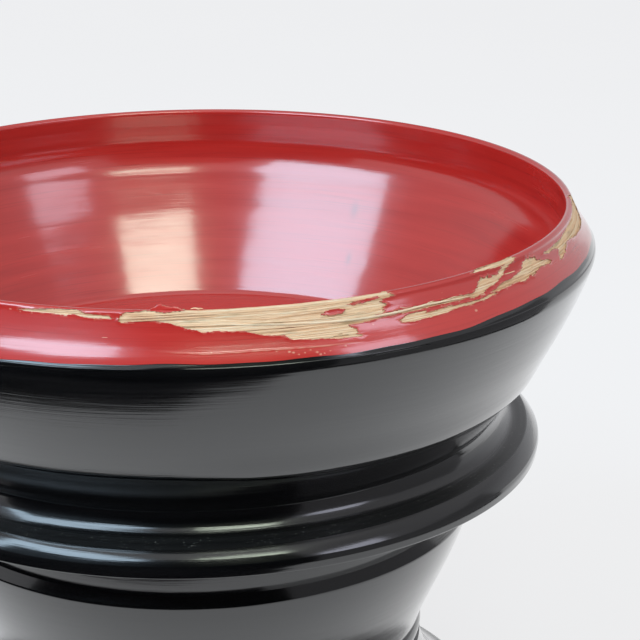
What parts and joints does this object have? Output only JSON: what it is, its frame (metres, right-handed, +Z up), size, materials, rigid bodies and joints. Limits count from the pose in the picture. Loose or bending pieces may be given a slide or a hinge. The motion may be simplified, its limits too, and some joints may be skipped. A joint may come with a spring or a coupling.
{
  "type": "lacquer offering bowl",
  "caption": "Round lacquered bamboo offering bowl, red inside and black outside, with a chipped lip, on a hollow flanged and waisted stand that it rests on.",
  "frame": {"origin": "middle of the foot's underside, on the surface that the bowl stands on", "axes": "+Z up along the turning axis; -Y is the front, the side with the largest chip in the lip"},
  "size_m": [0.4, 0.4, 0.3031],
  "materials": {
    "red_lacquer": "cinnabar red lacquer, glossy, with fine brush lines and wear",
    "black_lacquer": "black lacquer, glossy, with fine brush lines and dust",
    "split_bamboo": "bare split bamboo, fibrous, matt",
    "bamboo_core": "wound bamboo set in dark lacquer putty, matt"
  },
  "bodies": {
    "root": {"red_rim": "red_lacquer", "red_lining": "red_lacquer", "lifted_flake": "red_lacquer", "black_coat": "black_lacquer", "flange_ring": "black_lacquer", "cup_upper": "black_lacquer", "cup_lower": "black_lacquer", "waist_hoop": "black_lacquer", "trumpet_upper": "black_lacquer", "trumpet_lower": "black_lacquer", "foot_hoop": "black_lacquer", "lip_winding": "split_bamboo", "shoulder_winding": "split_bamboo", "neck_peg_1": "split_bamboo", "neck_peg_2": "split_bamboo", "neck_peg_3": "split_bamboo", "neck_peg_4": "split_bamboo", "neck_peg_5": "split_bamboo", "neck_peg_6": "split_bamboo", "shoulder_hoop": "bamboo_core", "bowl_wall_upper": "bamboo_core", "bowl_wall_lower": "bamboo_core", "bowl_floor": "bamboo_core", "neck_ring": "bamboo_core"}
  },
  "joints": []
}
